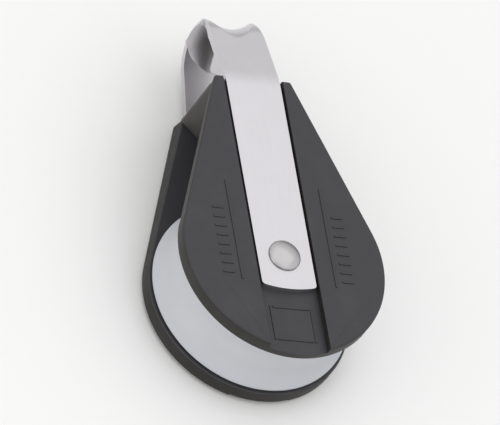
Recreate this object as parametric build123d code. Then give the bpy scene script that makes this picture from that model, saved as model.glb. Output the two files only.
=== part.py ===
"""Single sheave block with a fixed eye, for small-boat control lines.

Frame: the origin is on the axle, in the middle of the sheave. +Z runs along the axle and out
of the front cheek, +Y runs from the axle towards the eye, and +X is to the right.
All sizes are in millimetres.
"""

import os
from math import asin, cos, pi, radians, sin, tan

from build123d import *

# Sheave and rope groove
SHEAVE_RADIUS = 19.0
SHEAVE_WIDTH = 12.0
GROOVE_DEPTH = 3.5
RIM_LAND = 0.55

# Ball race inside the sheave
BALL_COUNT = 12
BALL_RADIUS = 1.75
BALL_RING_RADIUS = 6.78
RACE_RADIUS = 1.78
HUB_RADIUS = 5.36
OUTER_RACE_BORE = 8.20
RACE_RING_RADIUS = 9.6

# Cheeks: a round about the axle with straight flanks up to a narrow flat head
CHEEK_GAP = 12.6
CHEEK_THICKNESS = 2.9
CHEEK_RADIUS = 19.6
HEAD_TOP = 36.8
HEAD_CORNER_X = 7.05
HEAD_CORNER_RADIUS = 0.6
CHEEK_EDGE_ROUND = 0.9
CHANNEL_WIDTH = 11.7
CHANNEL_DEPTH = 1.4
BOSS_RADIUS = 6.4
BOSS_HEIGHT = 0.3

# Head spacer: a wedge between the cheek heads, held by two pegs on each side
SPACER_CORNER_X = 6.8
SPACER_CORNER_RADIUS = 0.5
SPACER_NOSE_Y = 30.7
SPACER_NOSE_RADIUS = 2.0
PEG_X = 3.2
PEG_Y = 33.5
PEG_RADIUS = 1.0
PEG_LENGTH = 0.6
PEG_CLEARANCE = 0.05

# Strap: one stainless strip, bent over into the eye
STRAP_WIDTH = 10.7
STRAP_THICKNESS = 1.2
STRAP_RECESS = 0.2
STRAP_END = 6.8
STRAP_END_RADIUS = 21.0
STRAP_END_CORNER = 0.5
ARM_LEAN = 13.5  # degrees, above the cheeks
ARM_BEND_RADIUS = 6.0
CROWN_CENTRE = 46.8
CROWN_RADIUS = 6.42
CROWN_HALF_WIDTH = 4.6
CROWN_TAPER_START = 47.5

# Rope saddle pressed into the crown of the eye: the inside of a ring
SADDLE_AXIS_Y = 44.3
SADDLE_FLOOR_RADIUS = 7.07
SADDLE_SECTION_RADIUS = 8.0
SADDLE_START = 46.3

# Ears turned in from the front arm: small gussets, given as heights from the axle and as
# depths from the strap's outer face
EAR_FOOT = (37.4, 1.2)
EAR_TIP_LOW = (40.0, 4.7)
EAR_TIP_HIGH = (41.3, 5.4)
EAR_TOP = (43.2, 2.3)

# Axle rivet
RIVET_RADIUS = 2.0
RIVET_HEAD_RADIUS = 3.05
RIVET_HEAD_HEIGHT = 1.1
RIVET_HEAD_RIM = 0.25
RIVET_TAIL_HEIGHT = 0.9
AXLE_HOLE_RADIUS = 2.05
HUB_BORE_RADIUS = 2.03

INNER_FACE = CHEEK_GAP / 2
OUTER_FACE = INNER_FACE + CHEEK_THICKNESS
STRAP_FACE = OUTER_FACE - STRAP_RECESS
BOSS_FACE = INNER_FACE - BOSS_HEIGHT
CUT = 30.0  # reach of the cutting tools


def slab(outline, low, high):
    """The outline, drawn in the XY plane, as a solid from height low to height high."""
    return extrude(Pos(0, 0, low) * outline, amount=high - low)


def tube(radius, bore, low, high):
    """A round tube about the axle from height low to height high."""
    return slab(Circle(radius) - Circle(bore), low, high)


def post(radius, low, high):
    """A round post about the axle from height low to height high."""
    return slab(Circle(radius), low, high)


def ball_track():
    """The ring-shaped space that the balls run in."""
    return Torus(BALL_RING_RADIUS, RACE_RADIUS)


def build_sheave():
    half = SHEAVE_WIDTH / 2
    lip = half - RIM_LAND
    section = make_face(
        [
            Line((OUTER_RACE_BORE, -half), (SHEAVE_RADIUS, -half)),
            Line((SHEAVE_RADIUS, -half), (SHEAVE_RADIUS, -lip)),
            ThreePointArc(
                (SHEAVE_RADIUS, -lip),
                (SHEAVE_RADIUS - GROOVE_DEPTH, 0),
                (SHEAVE_RADIUS, lip),
            ),
            Line((SHEAVE_RADIUS, lip), (SHEAVE_RADIUS, half)),
            Line((SHEAVE_RADIUS, half), (OUTER_RACE_BORE, half)),
            Line((OUTER_RACE_BORE, half), (OUTER_RACE_BORE, -half)),
        ]
    )
    wheel = revolve(Plane.XZ * section, Axis.Z)
    ring_seat = post(RACE_RING_RADIUS, 0, half)
    return wheel - ring_seat - ball_track()


def build_race_ring():
    ring = tube(RACE_RING_RADIUS, OUTER_RACE_BORE, 0, SHEAVE_WIDTH / 2)
    return ring - ball_track()


def build_hub():
    hub = tube(HUB_RADIUS, HUB_BORE_RADIUS, -BOSS_FACE, BOSS_FACE)
    return hub - ball_track()


def build_ball(index):
    turn = 2 * pi * index / BALL_COUNT
    place = Pos(BALL_RING_RADIUS * cos(turn), BALL_RING_RADIUS * sin(turn), 0)
    return place * Sphere(BALL_RADIUS)


def head_outline(corner_x, corner_radius, round_y, round_radius):
    """Two small head corners joined by straight flanks to a round lower end."""
    circles = [Pos(0, round_y) * Circle(round_radius)]
    for side in (-1, 1):
        centre = Pos(side * corner_x, HEAD_TOP - corner_radius)
        circles.append(centre * Circle(corner_radius))
    return make_hull([edge for circle in circles for edge in circle.edges()])


def pegs(radius, low, high):
    """The pair of pegs that hold one cheek's head to the spacer."""
    return [Pos(side * PEG_X, PEG_Y) * post(radius, low, high) for side in (-1, 1)]


def build_front_cheek():
    outline = head_outline(HEAD_CORNER_X, HEAD_CORNER_RADIUS, 0, CHEEK_RADIUS)
    plate = slab(outline, INNER_FACE, OUTER_FACE)
    rim = plate.faces().sort_by(Axis.Z)[-1].edges()
    plate = fillet(rim, CHEEK_EDGE_ROUND)
    channel = slab(Rectangle(CHANNEL_WIDTH, 4 * CUT), OUTER_FACE - CHANNEL_DEPTH, CUT)
    boss = post(BOSS_RADIUS, BOSS_FACE, INNER_FACE)
    axle_hole = post(AXLE_HOLE_RADIUS, 0, OUTER_FACE)
    hole_end = INNER_FACE + PEG_LENGTH + PEG_CLEARANCE
    peg_holes = pegs(PEG_RADIUS + PEG_CLEARANCE, 0, hole_end)
    return plate - channel + boss - axle_hole - peg_holes


def build_head_spacer():
    outline = head_outline(
        SPACER_CORNER_X, SPACER_CORNER_RADIUS, SPACER_NOSE_Y, SPACER_NOSE_RADIUS
    )
    block = slab(outline, -INNER_FACE, INNER_FACE)
    peg_end = INNER_FACE + PEG_LENGTH
    return block + pegs(PEG_RADIUS, -peg_end, peg_end)


def arch_fill(inset):
    """All that lies under the strap's bent outline, moved in by inset, as a wide solid."""
    half = STRAP_FACE - inset
    crown = CROWN_RADIUS - inset
    lean = radians(ARM_LEAN)
    meet = (CROWN_CENTRE + crown * sin(lean), crown * cos(lean))
    bend = (meet[0] - (half - meet[1]) / tan(lean), half)
    section = make_face(
        [
            Line((-CUT, half), bend),
            Line(bend, meet),
            ThreePointArc(meet, (CROWN_CENTRE + crown, 0), (meet[0], -meet[1])),
            Line((meet[0], -meet[1]), (bend[0], -half)),
            Line((bend[0], -half), (-CUT, -half)),
            Line((-CUT, -half), (-CUT, half)),
        ]
    )
    bends = section.vertices().sort_by(Axis.X)[2:4]
    section = fillet(bends, ARM_BEND_RADIUS - inset)
    return extrude(Plane.YZ * section, amount=STRAP_WIDTH, both=True)


def saddle_tool(inset):
    """The ring that presses the rope saddle, moved in by inset, above the arms only."""
    ring = Torus(SADDLE_FLOOR_RADIUS + SADDLE_SECTION_RADIUS, SADDLE_SECTION_RADIUS + inset)
    ring = Pos(0, SADDLE_AXIS_Y, 0) * Rot(0, 90, 0) * ring
    above = Pos(0, SADDLE_START + CUT / 2, 0) * Box(CUT, CUT, CUT)
    return ring & above


def strap_outline():
    """The strap seen from the front: parallel edges, a bowed lower end and a narrowed crown."""
    half = STRAP_WIDTH / 2
    bowed_end = Pos(0, STRAP_END_RADIUS - STRAP_END) * Circle(STRAP_END_RADIUS)
    top = CROWN_CENTRE + CROWN_RADIUS
    strip = make_face(
        Polyline(
            (-half, -2 * STRAP_END),
            (half, -2 * STRAP_END),
            (half, CROWN_TAPER_START),
            (CROWN_HALF_WIDTH, top),
            (-CROWN_HALF_WIDTH, top),
            (-half, CROWN_TAPER_START),
            close=True,
        )
    )
    upper = Pos(0, CUT) * Rectangle(2 * half, 2 * CUT)
    strip = strip & (bowed_end + upper)
    return fillet(strip.vertices().sort_by(Axis.Y)[:2], STRAP_END_CORNER)


def ear(side):
    """One ear, turned in from the front arm towards the rear arm."""
    inner = [(y, STRAP_FACE - depth) for y, depth in (EAR_FOOT, EAR_TIP_LOW, EAR_TIP_HIGH, EAR_TOP)]
    outline = Polyline((EAR_FOOT[0], STRAP_FACE), *inner, (EAR_TOP[0], STRAP_FACE), close=True)
    plate = extrude(Plane.YZ * make_face(outline), amount=STRAP_THICKNESS)
    low_x = STRAP_WIDTH / 2 - STRAP_THICKNESS if side > 0 else -STRAP_WIDTH / 2
    return Pos(low_x, 0, 0) * plate


def build_strap():
    outer = arch_fill(0) - saddle_tool(0)
    inner = arch_fill(STRAP_THICKNESS) - saddle_tool(STRAP_THICKNESS)
    ears = [ear(side) & arch_fill(0) for side in (-1, 1)]
    bent = outer - inner + ears
    strap = bent & slab(strap_outline(), -CUT, CUT)
    return strap - post(AXLE_HOLE_RADIUS, -CUT, CUT)


def dome(height):
    """The arc of a domed head from its rim to its crown, above the strap's outer face."""
    rise = height - RIVET_HEAD_RIM
    ball = (RIVET_HEAD_RADIUS**2 + rise**2) / (2 * rise)
    half_turn = asin(RIVET_HEAD_RADIUS / ball) / 2
    top = STRAP_FACE + height
    middle = (ball * sin(half_turn), top - ball + ball * cos(half_turn))
    return (RIVET_HEAD_RADIUS, STRAP_FACE + RIVET_HEAD_RIM), middle, (0, top)


def build_rivet():
    """The axle rivet, as one turned section: a domed head, the shank and a formed tail."""
    rim, middle, crown = dome(RIVET_HEAD_HEIGHT)
    tail_rim, tail_middle, tail_crown = [(x, -z) for x, z in dome(RIVET_TAIL_HEIGHT)]
    section = make_face(
        [
            ThreePointArc(crown, middle, rim),
            Polyline(
                rim,
                (RIVET_HEAD_RADIUS, STRAP_FACE),
                (RIVET_RADIUS, STRAP_FACE),
                (RIVET_RADIUS, -STRAP_FACE),
                (RIVET_HEAD_RADIUS, -STRAP_FACE),
                tail_rim,
            ),
            ThreePointArc(tail_rim, tail_middle, tail_crown),
            Line(tail_crown, crown),
        ]
    )
    return revolve(Plane.XZ * section, Axis.Z)


def build_all():
    front_cheek = build_front_cheek()
    pieces = {
        "front_cheek": front_cheek,
        "rear_cheek": mirror(front_cheek, about=Plane.XY),
        "head_spacer": build_head_spacer(),
        "strap": build_strap(),
        "axle_rivet": build_rivet(),
        "bearing_hub": build_hub(),
        "sheave": build_sheave(),
        "race_ring": build_race_ring(),
    }
    for index in range(BALL_COUNT):
        pieces[f"ball_{index + 1:02d}"] = build_ball(index)
    return pieces


def main():
    os.makedirs("parts", exist_ok=True)
    for name, piece in build_all().items():
        export_step(piece, f"parts/{name}.step")


main()
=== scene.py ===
"""A single sheave block with a fixed eye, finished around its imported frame.

The frame has its origin on the axle in the middle of the sheave, +Z out of the front cheek,
+Y towards the eye and +X to the right. The block lies on its rear cheek. Sizes are in metres.
"""

from math import asin, cos, pi, radians, sin, sqrt, tan

import bmesh
import bpy
from bpy.props import FloatProperty, FloatVectorProperty, IntProperty, PointerProperty
from mathutils import Matrix, Vector


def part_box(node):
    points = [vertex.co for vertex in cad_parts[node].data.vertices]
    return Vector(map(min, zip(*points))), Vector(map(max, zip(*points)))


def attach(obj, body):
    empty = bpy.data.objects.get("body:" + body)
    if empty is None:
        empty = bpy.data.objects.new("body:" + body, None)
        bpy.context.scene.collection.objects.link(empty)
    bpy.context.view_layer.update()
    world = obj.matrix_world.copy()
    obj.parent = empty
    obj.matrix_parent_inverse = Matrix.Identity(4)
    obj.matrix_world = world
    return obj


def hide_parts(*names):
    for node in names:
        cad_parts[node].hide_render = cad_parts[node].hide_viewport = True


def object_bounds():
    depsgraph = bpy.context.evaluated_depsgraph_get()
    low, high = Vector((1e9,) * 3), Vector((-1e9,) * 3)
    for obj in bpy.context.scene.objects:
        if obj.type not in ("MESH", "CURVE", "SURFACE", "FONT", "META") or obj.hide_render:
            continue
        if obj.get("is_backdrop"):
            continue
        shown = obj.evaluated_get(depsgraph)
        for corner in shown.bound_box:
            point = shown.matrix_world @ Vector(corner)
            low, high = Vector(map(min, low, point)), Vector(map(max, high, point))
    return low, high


bl_info = {
    "name": "Single Sheave Block",
    "version": (1, 0, 0),
    "blender": (4, 5, 0),
    "location": "View3D > Sidebar > Block",
    "description": "Builds a small pulley block with a fixed eye around its packed frame",
    "category": "Add Mesh",
}

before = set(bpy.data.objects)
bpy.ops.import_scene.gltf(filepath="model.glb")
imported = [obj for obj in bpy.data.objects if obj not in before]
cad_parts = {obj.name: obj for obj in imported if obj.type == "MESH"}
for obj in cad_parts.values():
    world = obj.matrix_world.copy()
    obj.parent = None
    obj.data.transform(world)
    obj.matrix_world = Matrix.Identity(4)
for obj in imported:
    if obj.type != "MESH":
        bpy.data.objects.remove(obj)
CAD_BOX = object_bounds()
CHEEK_LOW, CHEEK_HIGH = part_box("front_cheek")
SPACER_LOW, SPACER_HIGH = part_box("head_spacer")
STRAP_LOW, STRAP_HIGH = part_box("strap")
RIVET_LOW, RIVET_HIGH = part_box("axle_rivet")
SHEAVE_LOW, SHEAVE_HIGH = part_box("sheave")
RING_LOW, RING_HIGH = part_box("race_ring")

INNER_FACE = 0.0063
OUTER_FACE = CHEEK_HIGH.z
HEAD_TOP = CHEEK_HIGH.y
STRAP_FACE = STRAP_HIGH.z
BALL_NAMES = sorted(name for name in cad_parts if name.startswith("ball_"))

WIDE_FACE = 1.0e-5  # square metres: a flat face this large keeps its own shading
SAME = 1e-7  # points this close are in the same place

# Cheeks: where the flanks' draft starts, how far it takes to come in, and the brims' rounds
DRAFT_START = 0.004
DRAFT_RUN = 0.009
DRAFT_SIDEWAYS = 0.934
BRIM_ROUND = 0.00012
CHANNEL_END = -0.017
# Faces whose normal has less than this much along the axle take the wall colour, which holds
# painted shade and a painted warm reflection
WALL_SLOPE = 0.6

# Ribs beside the strap: one long line with short ribs outside it
RIB_LINE_OFFSET = 0.0034
RIB_LINE_MIDDLE = 0.0045
RIB_LINE_LENGTH = 0.0205
RIB_COUNT = 8
RIB_FIRST = -0.0045
RIB_PITCH = 0.0019
RIB_REACH = 0.0023
RIB_GAP = 0.0013

# Plain frame on the channel's floor: width, height and the middle's height from the axle
FRAME_WIDE = 0.0084
FRAME_HIGH = 0.0070
FRAME_MIDDLE = -0.0134

# Spacer
SPACER_CORNER = 0.0005
SPACER_EDGE = 0.00015
PEG_X = 0.0032
PEG_Y = 0.0335
PEG_RADIUS = 0.001

# Strap and ears
STRAP_COLUMNS = 56
BOW_FADE = 0.01
SADDLE_MARGIN = 0.0003
SADDLE_SOFT = 0.00001
EAR_PATH_START = 0.03
EAR_TIP_LOW_STEP = 0.0007
EAR_TIP_HIGH_STEP = 0.0006
EAR_INSET = 0.00002
EAR_ROUND = 0.0005

# Rivet and sheave
SHANK_RADIUS = 0.002
SHEAVE_BORE = 0.0082
SHEAVE_EDGE = 0.00022

# Stage
FLOOR_HALF = 1.5
SKY = ((0.0, 0.22), (0.4, 0.74), (0.8, 0.80))
SKY_STRENGTH = 1.21
BLOCK_MIDDLE = (0, 0.01, 0)
CAMERA_RIGHT = (0.898, -0.1532, 0.4125)
CAMERA_DOWN = (0.088, -0.856, -0.5095)
CAMERA_TARGET = (-0.003219, 0.010848, 0.005256)
CAMERA_DISTANCE = 3.0
VIEW_WIDTH = 0.08862105636299185  # of what the camera sees at its target
SENSOR_WIDTH = 36.0


def size(name, description, default):
    """A length that a user can change."""
    return FloatProperty(
        name=name, description=description, default=default, unit="LENGTH", min=0.0
    )


def colour(name, description, default):
    """A linear colour that a user can change."""
    return FloatVectorProperty(
        name=name,
        description=description,
        default=default,
        size=3,
        subtype="COLOR",
        min=0.0,
        max=1.0,
    )


class BlockSizes(bpy.types.PropertyGroup):
    """Sizes of the block's pieces."""

    cheek_edge_round: size("Cheek edge round", "Radius of the cheeks' outer rims", 0.0004)
    cheek_lip_round: size("Cheek lip round", "Radius of the cheeks' inner rims", 0.0003)
    cheek_draft: size("Cheek draft", "How far the flanks lean in at their inner rims", 0.0005)
    channel_runout: size("Channel run-out", "Rise of the rear channel's floor at its end", 0.0009)
    head_corner_x: size("Head corner offset", "Sideways offset of the head corners", 0.00705)
    head_corner_radius: size("Head corner radius", "Radius of the head corners", 0.0006)
    channel_width: size("Channel width", "Width of the strap's channel in a cheek", 0.0117)
    channel_depth: size("Channel depth", "Depth of the strap's channel in a cheek", 0.0014)
    rib_width: size("Rib width", "Width of the low grip ribs", 0.00042)
    rib_height: size("Rib height", "Height of the low grip ribs", 0.00016)
    strap_thickness: size("Strap thickness", "Thickness of the strap's strip", 0.0012)
    strap_end_radius: size("Strap end radius", "Radius of the strap's bowed ends", 0.021)
    strap_end_corner: size("Strap end corner", "Corner radius of the strap's ends", 0.0006)
    strap_edge_round: size("Strap edge round", "Radius of the strap's worn edges", 0.0002)
    arm_bend: size("Arm bend", "Outer radius of the bend above the cheeks", 0.014)
    arm_lean: FloatProperty(
        name="Arm lean",
        description="Lean of the arms above the cheeks",
        default=radians(13.5),
        subtype="ANGLE",
    )
    crown_centre: size("Crown centre", "Height of the crown's centre from the axle", 0.0468)
    crown_radius: size("Crown radius", "Outer radius of the crown", 0.00642)
    crown_half_width: size("Crown half width", "Half the crown's width at its top", 0.0046)
    crown_taper: size("Crown taper", "Height where the crown starts to narrow", 0.0475)
    saddle_axis: size("Saddle axis", "Height of the rope saddle's centre", 0.0443)
    saddle_start: size("Saddle start", "Height where the rope saddle starts", 0.0463)
    saddle_floor: size("Saddle floor", "Outer radius of the saddle's floor", 0.00707)
    saddle_section: size("Saddle section", "Radius of the saddle across the strap", 0.008)
    ear_bottom: size("Ear bottom", "Height of the ears' feet", 0.0374)
    ear_tip: size("Ear tip", "Height of the ears' tips", 0.0407)
    ear_top: size("Ear top", "Height of the ears' tops", 0.0432)
    ear_reach: size("Ear reach", "Reach of the ears from the strap's face", 0.0054)
    rivet_rim: size("Rivet rim", "Height of the rivet head's rim", 0.0003)
    groove_depth: size("Groove depth", "Depth of the rope groove", 0.0035)
    rim_land: size("Rim land", "Width of the flat land on the sheave's rims", 0.00055)
    spacer_nose: size("Spacer nose", "Radius of the spacer's nose", 0.002)
    steps: IntProperty(
        name="Turning steps", description="Steps in a full turn", default=160, min=24, max=512
    )


class BlockColours(bpy.types.PropertyGroup):
    """Colours of the block's finishes."""

    nylon: colour("Nylon", "Black moulded nylon", (0.037, 0.036, 0.042))
    nylon_wear: colour("Nylon wear", "Rubbed nylon", (0.056, 0.054, 0.060))
    # The wall colour is the cheek nylon made darker and warmer: painted shade and a painted warm
    # reflection on the side walls
    wall: colour("Painted wall shade", "Painted shade and warm reflection on the nylon of the cheeks' side walls", (0.025, 0.0235, 0.0200))
    spacer: colour("Spacer", "Grey-black spacer nylon", (0.085, 0.082, 0.076))
    steel: colour("Steel", "Satin stainless steel", (0.66, 0.645, 0.665))
    rivet: colour("Rivet", "Tumbled stainless steel", (0.52, 0.51, 0.515))
    acetal: colour("Acetal", "White acetal sheave", (0.615, 0.63, 0.665))
    balls: colour("Balls", "White acetal balls", (0.74, 0.74, 0.72))
    floor: colour("Floor", "Pale floor", (0.945, 0.945, 0.935))


class Signal:
    """A shader socket that takes part in Python sums."""

    def __init__(self, finish, socket):
        self.finish = finish
        self.socket = socket

    def combine(self, operation, first, second):
        """A Math node on two values, each a Signal or a number."""
        return self.finish.node("ShaderNodeMath", {"operation": operation}, {0: first, 1: second})

    def __add__(self, other):
        return self.combine("ADD", self, other)

    def __radd__(self, other):
        return self.combine("ADD", other, self)

    def __sub__(self, other):
        return self.combine("SUBTRACT", self, other)

    def __rsub__(self, other):
        return self.combine("SUBTRACT", other, self)

    def __mul__(self, other):
        return self.combine("MULTIPLY", self, other)

    def __rmul__(self, other):
        return self.combine("MULTIPLY", other, self)

    def __truediv__(self, other):
        return self.combine("DIVIDE", self, other)

    def __rtruediv__(self, other):
        return self.combine("DIVIDE", other, self)

    def __pow__(self, other):
        return self.combine("POWER", self, other)

    def __rpow__(self, other):
        return self.combine("POWER", other, self)


class Finish:
    """A procedural material under construction."""

    def __init__(self, name, roughness, metallic=0.0, specular=0.5):
        self.material = bpy.data.materials.new(name)
        self.material.use_nodes = True
        self.tree = self.material.node_tree
        self.shader = self.tree.nodes["Principled BSDF"]
        self.shader.inputs["Roughness"].default_value = roughness
        self.shader.inputs["Metallic"].default_value = metallic
        self.shader.inputs["Specular IOR Level"].default_value = specular

    def node(self, kind, settings=None, inputs=None, output=0):
        """Adds a node with its settings and inputs, and returns one output as a Signal."""
        node = self.tree.nodes.new(kind)
        for name, value in (settings or {}).items():
            if name == "stops":
                ramp = node.color_ramp.elements
                while len(ramp) < len(value):
                    ramp.new(0.5)
                for element, (position, shade) in zip(ramp, value):
                    element.position = position
                    element.color = (shade, shade, shade, 1.0)
            else:
                setattr(node, name, value)
        for name, value in (inputs or {}).items():
            self.feed(node.inputs[name], value)
        return Signal(self, node.outputs[output])

    def feed(self, socket, value):
        """Links a Signal to a socket, or sets the socket's own value."""
        if isinstance(value, Signal):
            self.tree.links.new(value.socket, socket)
        elif socket.type == "RGBA":
            socket.default_value = (*value[:3], 1.0)
        else:
            socket.default_value = value

    def place(self, scale=(1.0, 1.0, 1.0)):
        """The position on the piece, scaled for a pattern."""
        spot = self.node("ShaderNodeTexCoord", output="Object")
        return self.node("ShaderNodeMapping", None, {"Vector": spot, "Scale": scale})

    def noise(self, vector, scale, detail=3.0, roughness=0.55):
        """Smooth noise from 0 to 1."""
        inputs = {"Vector": vector, "Scale": scale, "Detail": detail, "Roughness": roughness}
        return self.node("ShaderNodeTexNoise", None, inputs)

    def ramp(self, signal, *stops):
        """A ramp of greys, given as pairs of position and grey."""
        return self.node("ShaderNodeValToRGB", {"stops": stops}, {"Fac": signal})

    def mix(self, factor, first, second):
        """A colour between two others."""
        mixed = self.tree.nodes.new("ShaderNodeMix")
        mixed.data_type = "RGBA"
        for index, value in ((0, factor), (6, first), (7, second)):
            self.feed(mixed.inputs[index], value)
        return Signal(self, mixed.outputs[2])

    def axle_place(self):
        """Distance from the axle and height along it, as a vector for turned patterns."""
        spot = self.node("ShaderNodeTexCoord", output="Object")
        flat = self.node("ShaderNodeVectorMath", {"operation": "MULTIPLY"}, {0: spot, 1: (1, 1, 0)})
        reach = self.node("ShaderNodeVectorMath", {"operation": "LENGTH"}, {0: flat}, "Value")
        height = self.node("ShaderNodeSeparateXYZ", None, {"Vector": spot}, "Z")
        return self.node("ShaderNodeCombineXYZ", None, {"X": reach, "Y": height, "Z": 0.0})

    def finish(self, base, roughness=None, relief=None, depth=0.00002, strength=0.5):
        """Feeds the shader and returns the material."""
        self.feed(self.shader.inputs["Base Color"], base)
        if roughness is not None:
            self.feed(self.shader.inputs["Roughness"], roughness)
        if relief is not None:
            inputs = {"Height": relief, "Distance": depth, "Strength": strength}
            self.feed(self.shader.inputs["Normal"], self.node("ShaderNodeBump", None, inputs))
        return self.material


def nylon_finish(name, shade, wear, specular=0.45):
    """Satin moulded nylon: a fine spark-eroded grain with faint rubbed patches."""
    finish = Finish(name, 0.5, specular=specular)
    place = finish.place()
    grain = finish.noise(place, 2600.0, 4.0, 0.65)
    flow = finish.noise(place, 160.0, 3.0)
    rubbed = finish.ramp(flow, (0.45, 0.0), (0.75, 1.0)) * 0.35
    base = finish.mix(rubbed, shade, wear)
    gloss = 0.44 + grain * 0.16 - rubbed * 0.12
    return finish.finish(base, gloss, grain + flow * 0.6, 0.000018, 0.45)


def steel_finish(name, shade, roughness, lines=(2400.0, 90.0, 2400.0)):
    """Satin stainless steel: fine lines along the strip and a faint mottle."""
    finish = Finish(name, roughness, metallic=1.0)
    brushed = finish.noise(finish.place(lines), 1.0, 3.0, 0.6)
    mottle = finish.noise(finish.place(), 240.0, 4.0, 0.6)
    dark = tuple(part * 0.90 for part in shade)
    light = tuple(min(1.0, part * 1.04) for part in shade)
    base = finish.mix(brushed * 0.6 + mottle * 0.4, dark, light)
    gloss = roughness - 0.06 + brushed * 0.07 + mottle * 0.05
    return finish.finish(base, gloss, brushed + mottle * 0.5, 0.000006, 0.35)


def acetal_finish(name, shade, turned=True):
    """White acetal: smooth and slightly waxy, with faint lines where it is turned."""
    finish = Finish(name, 0.34, specular=0.5)
    place = finish.place()
    cloud = finish.noise(place, 180.0, 3.0)
    speck = finish.noise(place, 1900.0, 2.0)
    lines = finish.noise(finish.axle_place() if turned else place, 2200.0, 2.0)
    dark = tuple(part * 0.93 for part in shade)
    base = finish.mix(cloud * 0.8 + speck * 0.2, dark, shade)
    gloss = 0.28 + cloud * 0.08 + lines * 0.06
    return finish.finish(base, gloss, lines + cloud * 0.5, 0.000006, 0.3)


def floor_finish(name, shade):
    """A pale seamless sheet."""
    finish = Finish(name, 0.85, specular=0.2)
    cloud = finish.noise(finish.place(), 8.0, 2.0)
    dark = tuple(part * 0.985 for part in shade)
    return finish.finish(finish.mix(cloud, dark, shade))


def mesh_piece(name, bm, material, body, node=None, smooth=35.0):
    """Turns a finished bmesh into a piece that rides on a body and stands for a CAD node."""
    bmesh.ops.remove_doubles(bm, verts=bm.verts, dist=SAME)
    bmesh.ops.recalc_face_normals(bm, faces=bm.faces)
    for face in bm.faces:
        face.smooth = True
    for edge in bm.edges:
        edge.smooth = edge.is_manifold and edge.calc_face_angle(pi) < radians(smooth)
        if any(face.calc_area() > WIDE_FACE for face in edge.link_faces):
            edge.smooth = False
    mesh = bpy.data.meshes.new(name)
    bm.to_mesh(mesh)
    bm.free()
    if not mesh.polygons:
        raise RuntimeError(f"{name} has no faces")
    piece = bpy.data.objects.new(name, mesh)
    bpy.context.scene.collection.objects.link(piece)
    mesh.materials.append(material)
    if body:
        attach(piece, body)
    if node:
        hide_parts(node)
    return piece


def add_bevel(piece, width, segments=2, angle=40.0):
    """Rounds a piece's sharp edges."""
    bevel = piece.modifiers.new("Edge round", "BEVEL")
    bevel.width = width
    bevel.segments = segments
    bevel.limit_method = "ANGLE"
    bevel.angle_limit = radians(angle)
    bevel.harden_normals = True


def bevel_edges(bm, edges, radius, segments):
    """Rounds some edges of a bmesh."""
    bmesh.ops.bevel(
        bm,
        geom=edges,
        offset=radius,
        offset_type="OFFSET",
        segments=segments,
        profile=0.5,
        affect="EDGES",
        material=-1,
        clamp_overlap=False,
    )


def hull_plate(bm, discs, low, high, steps):
    """A plate from height low to height high, whose outline wraps the discs (x, y, radius)."""
    for x, y, radius in discs:
        for z in (low, high):
            place = Matrix.Translation((x, y, z))
            bmesh.ops.create_circle(bm, segments=steps, radius=radius, matrix=place)
    bmesh.ops.convex_hull(bm, input=bm.verts)
    loose = [vert for vert in bm.verts if not vert.link_faces]
    bmesh.ops.delete(bm, geom=loose, context="VERTS")
    loose = [edge for edge in bm.edges if not edge.link_faces]
    bmesh.ops.delete(bm, geom=loose, context="EDGES")
    bmesh.ops.dissolve_limit(
        bm,
        angle_limit=radians(0.4),
        verts=bm.verts[:],
        edges=bm.edges[:],
        use_dissolve_boundaries=False,
    )
    bmesh.ops.recalc_face_normals(bm, faces=bm.faces)


def edges_at(bm, test):
    """The edges whose two ends both pass a test."""
    return [edge for edge in bm.edges if all(test(vert.co) for vert in edge.verts)]


def cut_channel(bm, half, floor):
    """Cuts the strap's channel along a cheek's outer face."""
    for x in (-half, half):
        geom = bm.verts[:] + bm.edges[:] + bm.faces[:]
        bmesh.ops.bisect_plane(bm, geom=geom, dist=1e-8, plane_co=(x, 0, 0), plane_no=(1, 0, 0))
    between = [f for f in bm.faces if abs(f.calc_center_median().x) < half - 1e-6]
    geom = list({item for f in between for item in (*f.verts, *f.edges)}) + between
    bmesh.ops.bisect_plane(bm, geom=geom, dist=1e-8, plane_co=(0, 0, floor), plane_no=(0, 0, 1))
    doomed = [
        face
        for face in bm.faces
        if abs(face.calc_center_median().x) < half - 1e-6
        and face.calc_center_median().z > floor + SAME
    ]
    bmesh.ops.delete(bm, geom=doomed, context="FACES")
    open_edges = [edge for edge in bm.edges if edge.is_boundary]
    corners = {
        (side, end): pick_corner(open_edges, side * half, end, floor)
        for side in (-1, 1)
        for end in (-1, 1)
    }
    floor_edges = [e for e in open_edges if all(abs(v.co.z - floor) < SAME for v in e.verts)]
    for side in (-1, 1):
        foot = bm.edges.new((corners[side, -1], corners[side, 1]))
        wall = [e for e in open_edges if all(abs(v.co.x - side * half) < SAME for v in e.verts)]
        bmesh.ops.contextual_create(bm, geom=wall + [foot])
        floor_edges.append(foot)
    bmesh.ops.contextual_create(bm, geom=floor_edges)


def pick_corner(edges, x, end, floor):
    """The open corner of the channel at one side and one end, on its floor."""
    verts = {
        vert
        for edge in edges
        for vert in edge.verts
        if abs(vert.co.x - x) < SAME and abs(vert.co.z - floor) < SAME
    }
    return max(verts, key=lambda vert: vert.co.y * end)


def low_bar(bm, x, y, width, length, height, face):
    """A low bar with rounded top edges on a flat face."""
    place = Matrix.Translation((x, y, face)) @ Matrix.Diagonal((width, length, 2 * height, 1))
    made = bmesh.ops.create_cube(bm, size=1.0, matrix=place)
    top = [
        edge
        for edge in {e for vert in made["verts"] for e in vert.link_edges}
        if any(vert.co.z > face for vert in edge.verts)
    ]
    bevel_edges(bm, top, height * 0.6, 2)


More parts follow.
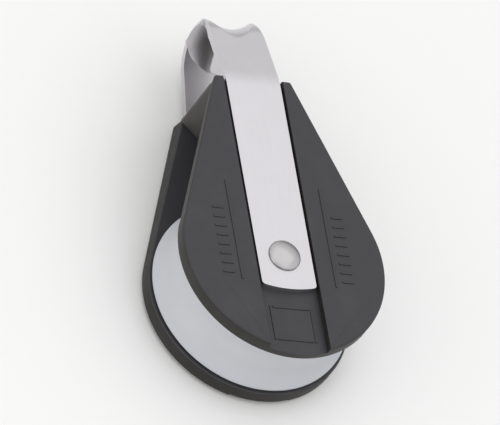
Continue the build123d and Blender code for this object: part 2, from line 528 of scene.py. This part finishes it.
def cheek_mesh(sizes):
    """The front cheek: a teardrop plate with rounded rims, the channel and low grip ribs."""
    bm = bmesh.new()
    corner_y = HEAD_TOP - sizes.head_corner_radius
    discs = [(0, 0, CHEEK_HIGH.x)]
    discs += [(side * sizes.head_corner_x, corner_y, sizes.head_corner_radius) for side in (-1, 1)]
    hull_plate(bm, discs, INNER_FACE, OUTER_FACE, sizes.steps)
    outer = edges_at(bm, lambda co: co.z > OUTER_FACE - SAME)
    inner = edges_at(bm, lambda co: co.z < INNER_FACE + SAME)
    bevel_edges(bm, outer, sizes.cheek_edge_round, 6)
    bevel_edges(bm, inner, sizes.cheek_lip_round, 3)
    for vert in bm.verts:
        if vert.co.z < INNER_FACE + sizes.cheek_lip_round + 1e-6:
            share = min(1.0, max(0.0, (vert.co.y - DRAFT_START) / DRAFT_RUN))
            lean = sizes.cheek_draft * share * share * (3 - 2 * share)
            vert.co.x -= lean * DRAFT_SIDEWAYS if vert.co.x > 0 else -lean * DRAFT_SIDEWAYS
    half = sizes.channel_width / 2
    cut_channel(bm, half, OUTER_FACE - sizes.channel_depth)
    brims = edges_at(bm, lambda co: abs(abs(co.x) - half) < SAME and co.z > OUTER_FACE - 1e-4)
    bevel_edges(bm, brims, BRIM_ROUND, 2)
    bm.normal_update()
    tops = [f for f in bm.faces if f.calc_area() > WIDE_FACE and f.normal.z > 0.99]
    for vert in {vert for face in tops for vert in face.verts}:
        if vert.co.z > OUTER_FACE - 0.0005:
            vert.co.z = OUTER_FACE
    width, height = sizes.rib_width, sizes.rib_height
    for side in (-1, 1):
        line_x = side * (half + RIB_LINE_OFFSET)
        low_bar(bm, line_x, RIB_LINE_MIDDLE, width, RIB_LINE_LENGTH, height, OUTER_FACE)
        for index in range(RIB_COUNT):
            y = RIB_FIRST + index * RIB_PITCH
            x = line_x + side * (RIB_GAP + RIB_REACH / 2)
            low_bar(bm, x, y, RIB_REACH, width, height, OUTER_FACE)
    floor = OUTER_FACE - sizes.channel_depth
    for sign in (-1, 1):
        x = sign * (FRAME_WIDE - width) / 2
        low_bar(bm, x, FRAME_MIDDLE, width, FRAME_HIGH, height, floor)
        y = FRAME_MIDDLE + sign * (FRAME_HIGH - width) / 2
        low_bar(bm, 0, y, FRAME_WIDE - 3 * width, width, height, floor)
    return bm


class BLOCK_OT_cheeks(bpy.types.Operator):
    """Build the two moulded cheeks"""

    bl_idname = "block.cheeks"
    bl_label = "Cheeks"

    def execute(self, context):
        sizes = context.scene.block_sizes
        colours = context.scene.block_colours
        nylon = nylon_finish("Cheek nylon", colours.nylon, colours.nylon_wear)
        front = cheek_mesh(sizes)
        rear = front.copy()
        floor = OUTER_FACE - sizes.channel_depth
        for vert in rear.verts:
            if vert.co.y < CHANNEL_END and abs(vert.co.z - floor) < SAME:
                vert.co.z += sizes.channel_runout
        bmesh.ops.scale(rear, vec=(1, 1, -1), verts=rear.verts)
        bmesh.ops.recalc_face_normals(rear, faces=rear.faces)
        # The side walls get the darker, warmer wall colour by their slope: painted shade and
        # painted warm reflection
        wall = nylon_finish("Cheek wall nylon with painted shade", colours.wall, colours.nylon, 0.3)
        for end, bm in (("front", front), ("rear", rear)):
            bm.normal_update()
            for face in bm.faces:
                face.material_index = int(abs(face.normal.z) < WALL_SLOPE)
            node = f"{end}_cheek"
            cheek = mesh_piece(f"cheek_{end}", bm, nylon, "block", node, 30)
            cheek.data.materials.append(wall)
        return {"FINISHED"}


class BLOCK_OT_spacer(bpy.types.Operator):
    """Build the wedge between the cheek heads"""

    bl_idname = "block.spacer"
    bl_label = "Head spacer"

    def execute(self, context):
        sizes = context.scene.block_sizes
        colours = context.scene.block_colours
        nylon = nylon_finish("Spacer nylon", colours.spacer, colours.nylon_wear)
        bm = bmesh.new()
        corner = SPACER_CORNER
        discs = [(0, SPACER_LOW.y + sizes.spacer_nose, sizes.spacer_nose)]
        discs += [(s * (SPACER_HIGH.x - corner), HEAD_TOP - corner, corner) for s in (-1, 1)]
        hull_plate(bm, discs, -INNER_FACE, INNER_FACE, 48)
        for x in (-PEG_X, PEG_X):
            place = Matrix.Translation((x, PEG_Y, 0))
            depth = SPACER_HIGH.z - SPACER_LOW.z
            bmesh.ops.create_cone(
                bm,
                cap_ends=True,
                segments=32,
                radius1=PEG_RADIUS,
                radius2=PEG_RADIUS,
                depth=depth,
                matrix=place,
            )
        spacer = mesh_piece("spacer", bm, nylon, "block", "head_spacer", 30)
        add_bevel(spacer, SPACER_EDGE)
        return {"FINISHED"}


def strap_path(sizes):
    """The strap's outer line from the front end to the crown's top, as (y, z) points."""
    face = STRAP_FACE
    lean = sizes.arm_lean
    crown = sizes.crown_radius
    meet = Vector((sizes.crown_centre + crown * sin(lean), crown * cos(lean)))
    bend_y = meet.x - (face - meet.y) / tan(lean)
    setback = sizes.arm_bend * tan(lean / 2)
    centre = Vector((bend_y - setback, face - sizes.arm_bend))
    corner = sizes.strap_end_corner
    start = STRAP_LOW.y + corner
    path = [Vector((start - corner * cos(pi / 2 * i / 8), face)) for i in range(8)]
    path += [Vector((start + (centre.x - start) * i / 50, face)) for i in range(50)]
    for i in range(9):
        turn = lean * i / 8
        path.append(centre + sizes.arm_bend * Vector((sin(turn), cos(turn))))
    last = path[-1].copy()
    path += [last.lerp(meet, i / 48) for i in range(1, 48)]
    for i in range(73):
        turn = lean + (pi / 2 - lean) * i / 72
        path.append(Vector((sizes.crown_centre + crown * sin(turn), crown * cos(turn))))
    return path


def pressed(point, x, sizes):
    """A point of the strap's outer line after the rope saddle is pressed in at offset x."""
    axis = Vector((sizes.saddle_axis, 0))
    arm = point - axis
    reach = arm.length
    section = sizes.saddle_section
    limit = sizes.saddle_floor + section - sqrt(section**2 - x**2)
    if point.x < sizes.saddle_start or reach < limit - SADDLE_MARGIN:
        return point
    gap = reach - limit
    moved = limit + (gap - sqrt(gap**2 + SADDLE_SOFT**2)) / 2
    return axis + arm * (moved / reach)


def strap_half_width(y, sizes):
    """Half the strap's width at a height y."""
    half = STRAP_HIGH.x
    taper = (y - sizes.crown_taper) / (STRAP_HIGH.y - sizes.crown_taper)
    half -= (half - sizes.crown_half_width) * min(1.0, max(0.0, taper))
    corner = sizes.strap_end_corner
    short = corner - (y - STRAP_LOW.y)
    if short > 0:
        half -= corner - sqrt(max(0.0, corner**2 - min(short, corner) ** 2))
    return half


class BLOCK_OT_strap(bpy.types.Operator):
    """Build the strap with its dished eye and its two ears"""

    bl_idname = "block.strap"
    bl_label = "Strap"

    def execute(self, context):
        sizes = context.scene.block_sizes
        steel = steel_finish("Strap steel", context.scene.block_colours.steel, 0.36)
        half_path = strap_path(sizes)
        rear = [Vector((point.x, -point.y)) for point in reversed(half_path[:-1])]
        path = half_path + rear
        bm = bmesh.new()
        bmesh.ops.create_grid(bm, x_segments=STRAP_COLUMNS, y_segments=len(path) - 1, size=0.5)
        for vert in bm.verts:
            across = vert.co.x * 2
            row = round((vert.co.y + 0.5) * (len(path) - 1))
            point = path[row]
            x = across * strap_half_width(point.x, sizes)
            y = point.x
            bow = sizes.strap_end_radius - sqrt(sizes.strap_end_radius**2 - x**2)
            y += bow * max(0.0, 1 - (y - STRAP_LOW.y) / BOW_FADE)
            line = pressed(Vector((y, point.y)), x, sizes)
            vert.co = (x, line.x, line.y)
        bmesh.ops.recalc_face_normals(bm, faces=bm.faces)
        middle = min(bm.faces, key=lambda f: abs(f.calc_center_median().y - 0.02))
        if middle.normal.z * middle.calc_center_median().z < 0:
            bmesh.ops.reverse_faces(bm, faces=bm.faces)
        bmesh.ops.solidify(bm, geom=bm.faces[:], thickness=sizes.strap_thickness)
        strap = mesh_piece("strap_band", bm, steel, "block", "strap", 40)
        add_bevel(strap, sizes.strap_edge_round, 3, 50)
        for side, name in ((-1, "ear_left"), (1, "ear_right")):
            ear = mesh_piece(name, ear_mesh(sizes, side), steel, "block", None, 40)
            add_bevel(ear, sizes.strap_edge_round, 3, 50)
        return {"FINISHED"}


def ear_mesh(sizes, side):
    """One ear: a small gusset below the front arm's edge."""
    bm = bmesh.new()
    path = [point for point in strap_path(sizes) if point.x > EAR_PATH_START]
    skin = sizes.strap_thickness
    foot, tip, top = sizes.ear_bottom, sizes.ear_tip, sizes.ear_top
    low = STRAP_FACE - sizes.ear_reach
    outline = [
        (foot, height_on(path, foot) - skin / 2),
        (foot, height_on(path, foot) - skin),
        (tip - EAR_TIP_LOW_STEP, low + EAR_TIP_LOW_STEP),
        (tip + EAR_TIP_HIGH_STEP, low),
        (top, height_on(path, top) - skin),
        (top, height_on(path, top) - skin / 2),
    ]
    verts = [bm.verts.new((side * (STRAP_HIGH.x - EAR_INSET), y, z)) for y, z in outline]
    face = bm.faces.new(verts)
    thick = bmesh.ops.extrude_face_region(bm, geom=[face])
    moved = [item for item in thick["geom"] if isinstance(item, bmesh.types.BMVert)]
    bmesh.ops.translate(bm, vec=(-side * skin, 0, 0), verts=moved)
    corners = [
        edge
        for edge in bm.edges
        if abs(edge.verts[0].co.x - edge.verts[1].co.x) > skin / 2
        and edge.verts[0].co.z < low + 0.001
    ]
    bevel_edges(bm, corners, EAR_ROUND, 4)
    return bm


def height_on(path, y):
    """The height z of a line of (y, z) points at y."""
    for first, second in zip(path, path[1:]):
        if first.x <= y <= second.x:
            return first.lerp(second, (y - first.x) / (second.x - first.x)).y
    raise RuntimeError("the ear leaves the strap's line")


def turned(bm, profile, steps, closed=True):
    """Turns a profile of (radius, height) points a full turn about the axle."""
    verts = [bm.verts.new((radius, 0, height)) for radius, height in profile]
    pairs = list(zip(verts, verts[1:])) + ([(verts[-1], verts[0])] if closed else [])
    edges = [bm.edges.new(pair) for pair in pairs]
    bmesh.ops.spin(
        bm,
        geom=verts + edges,
        cent=(0, 0, 0),
        axis=(0, 0, 1),
        angle=2 * pi,
        steps=steps,
        use_merge=True,
    )


def arc(centre, radius, start, stop, count):
    """Points on an arc, as (radius, height) pairs, from one angle to another."""
    turns = [start + (stop - start) * i / count for i in range(count + 1)]
    return [(centre[0] + radius * cos(t), centre[1] + radius * sin(t)) for t in turns]


def dome_profile(height, rim, radius):
    """A domed head from its crown to its foot, above the strap's face."""
    rise = height - rim
    ball = (radius**2 + rise**2) / (2 * rise)
    centre = STRAP_FACE + height - ball
    points = []
    for i in range(15):
        reach = radius * 0.975 * i / 14
        points.append((reach, centre + sqrt(ball**2 - reach**2)))
    points += [(radius * 0.995, STRAP_FACE + rim * 0.8), (radius, STRAP_FACE + rim * 0.6)]
    points.append((radius * 0.95, STRAP_FACE - 0.00001))
    return points


class BLOCK_OT_rivet(bpy.types.Operator):
    """Build the axle rivet with its domed head and its formed tail"""

    bl_idname = "block.rivet"
    bl_label = "Axle rivet"

    def execute(self, context):
        sizes = context.scene.block_sizes
        shade = context.scene.block_colours.rivet
        steel = steel_finish("Rivet steel", shade, 0.22, (700, 700, 700))
        radius = RIVET_HIGH.x
        head = dome_profile(RIVET_HIGH.z - STRAP_FACE, sizes.rivet_rim, radius)
        tail = dome_profile(-RIVET_LOW.z - STRAP_FACE, sizes.rivet_rim, radius)
        shank = [(SHANK_RADIUS, STRAP_FACE), (SHANK_RADIUS, -STRAP_FACE)]
        profile = head + shank + [(reach, -height) for reach, height in reversed(tail)]
        bm = bmesh.new()
        turned(bm, profile, 96, closed=False)
        mesh_piece("rivet", bm, steel, "block", "axle_rivet", 45)
        return {"FINISHED"}


class BLOCK_OT_sheave(bpy.types.Operator):
    """Build the sheave with its rope groove"""

    bl_idname = "block.sheave"
    bl_label = "Sheave"

    def execute(self, context):
        sizes = context.scene.block_sizes
        acetal = acetal_finish("Sheave acetal", context.scene.block_colours.acetal)
        radius = SHEAVE_HIGH.x
        half = SHEAVE_HIGH.z
        lip = half - sizes.rim_land
        depth = sizes.groove_depth
        bore = SHEAVE_BORE
        seat = RING_HIGH.x
        groove = (lip**2 + depth**2) / (2 * depth)
        centre = (radius - depth + groove, 0)
        edge = SHEAVE_EDGE
        opening = pi - asin(lip / groove)
        profile = [(bore, -half), (radius - edge, -half)]
        profile += arc((radius - edge, -half + edge), edge, -pi / 2, 0, 4)[1:]
        profile += arc(centre, groove, 2 * pi - opening, opening, 40)
        profile += arc((radius - edge, half - edge), edge, 0, pi / 2, 4)
        profile += [(seat, half), (seat, 0.0), (bore, 0.0)]
        bm = bmesh.new()
        turned(bm, profile, sizes.steps)
        mesh_piece("sheave_wheel_rim", bm, acetal, "sheave_wheel", "sheave", 40)
        return {"FINISHED"}


class BLOCK_OT_bearing(bpy.types.Operator):
    """Finish the hub, the race ring and the balls that come from the frame"""

    bl_idname = "block.bearing"
    bl_label = "Bearing"

    def execute(self, context):
        colours = context.scene.block_colours
        ring = acetal_finish("Ring acetal", colours.acetal)
        balls = acetal_finish("Ball acetal", colours.balls, turned=False)
        hub = steel_finish("Hub steel", colours.steel, 0.3, (300, 300, 2600))
        finishes = {"race_ring": ring, "bearing_hub": hub}
        finishes.update({name: balls for name in BALL_NAMES})
        for name, material in finishes.items():
            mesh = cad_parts[name].data
            mesh.materials.clear()
            mesh.materials.append(material)
        return {"FINISHED"}


def soft_light(name, place, aim, width, energy, shade=(1, 1, 1)):
    """A square soft light that faces a point."""
    light = bpy.data.lights.new(name, "AREA")
    light.shape = "SQUARE"
    light.size = width
    light.energy = energy
    light.color = shade
    lamp = bpy.data.objects.new(name, light)
    lamp.location = place
    lamp.rotation_euler = (Vector(aim) - Vector(place)).to_track_quat("-Z", "Y").to_euler()
    bpy.context.scene.collection.objects.link(lamp)


class BLOCK_OT_stage(bpy.types.Operator):
    """Build the floor, the lights and the camera"""

    bl_idname = "block.stage"
    bl_label = "Stage"

    def execute(self, context):
        scene = context.scene
        bm = bmesh.new()
        place = Matrix.Translation((0, 0, RIVET_LOW.z))
        bmesh.ops.create_grid(bm, x_segments=1, y_segments=1, size=FLOOR_HALF, matrix=place)
        sheet = floor_finish("Floor sheet", scene.block_colours.floor)
        floor = mesh_piece("floor", bm, sheet, None)
        floor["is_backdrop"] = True
        world = bpy.data.worlds.new("Studio")
        world.use_nodes = True
        sky = world.node_tree.nodes["Background"]
        tree = world.node_tree
        spot = tree.nodes.new("ShaderNodeTexCoord")
        split = tree.nodes.new("ShaderNodeSeparateXYZ")
        ramp = tree.nodes.new("ShaderNodeValToRGB")
        ramp.color_ramp.elements.new(0.5)
        for element, (position, shade) in zip(ramp.color_ramp.elements, SKY):
            element.position = position
            element.color = (shade, shade, shade * 1.005, 1.0)
        tree.links.new(spot.outputs["Generated"], split.inputs[0])
        tree.links.new(split.outputs["Z"], ramp.inputs["Fac"])
        tree.links.new(ramp.outputs["Color"], sky.inputs["Color"])
        sky.inputs["Strength"].default_value = SKY_STRENGTH
        scene.world = world
        scene.view_settings.view_transform = "Standard"
        soft_light("Overhead", (0.10, 0.15, 0.50), BLOCK_MIDDLE, 0.6, 0.30)
        soft_light("Left fill", (-0.45, -0.10, 0.16), BLOCK_MIDDLE, 0.35, 0.3, (1, 0.97, 0.93))
        right = Vector(CAMERA_RIGHT).normalized()
        down = Vector(CAMERA_DOWN).normalized()
        away = right.cross(down)
        down = away.cross(right)
        view = bpy.data.cameras.new("Camera")
        view.sensor_width = SENSOR_WIDTH
        view.lens = SENSOR_WIDTH * CAMERA_DISTANCE / VIEW_WIDTH
        view.clip_end = 10.0
        camera = bpy.data.objects.new("Camera", view)
        turn = Matrix((right, -down, -away)).transposed()
        viewpoint = Vector(CAMERA_TARGET) - away * CAMERA_DISTANCE
        camera.matrix_world = Matrix.Translation(viewpoint) @ turn.to_4x4()
        scene.collection.objects.link(camera)
        scene.camera = camera
        return {"FINISHED"}


OPERATORS = (
    BLOCK_OT_stage,
    BLOCK_OT_cheeks,
    BLOCK_OT_spacer,
    BLOCK_OT_strap,
    BLOCK_OT_rivet,
    BLOCK_OT_sheave,
    BLOCK_OT_bearing,
)


class BLOCK_PT_panel(bpy.types.Panel):
    """The block's builders in the 3D view's sidebar."""

    bl_label = "Sheave Block"
    bl_idname = "BLOCK_PT_panel"
    bl_space_type = "VIEW_3D"
    bl_region_type = "UI"
    bl_category = "Block"

    def draw(self, context):
        for operator in OPERATORS:
            self.layout.operator(operator.bl_idname)


CLASSES = (BlockSizes, BlockColours, *OPERATORS, BLOCK_PT_panel)


def register():
    for item in CLASSES:
        bpy.utils.register_class(item)
    bpy.types.Scene.block_sizes = PointerProperty(type=BlockSizes)
    bpy.types.Scene.block_colours = PointerProperty(type=BlockColours)


def unregister():
    del bpy.types.Scene.block_colours
    del bpy.types.Scene.block_sizes
    for item in reversed(CLASSES):
        bpy.utils.unregister_class(item)


def main():
    register()
    for operator in OPERATORS:
        family, name = operator.bl_idname.split(".")
        getattr(getattr(bpy.ops, family), name)()
    boxes = {"cad": CAD_BOX, "visual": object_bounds()}
    boxes = {name: [list(corner) for corner in box] for name, box in boxes.items()}


if __name__ == "__main__":
    main()
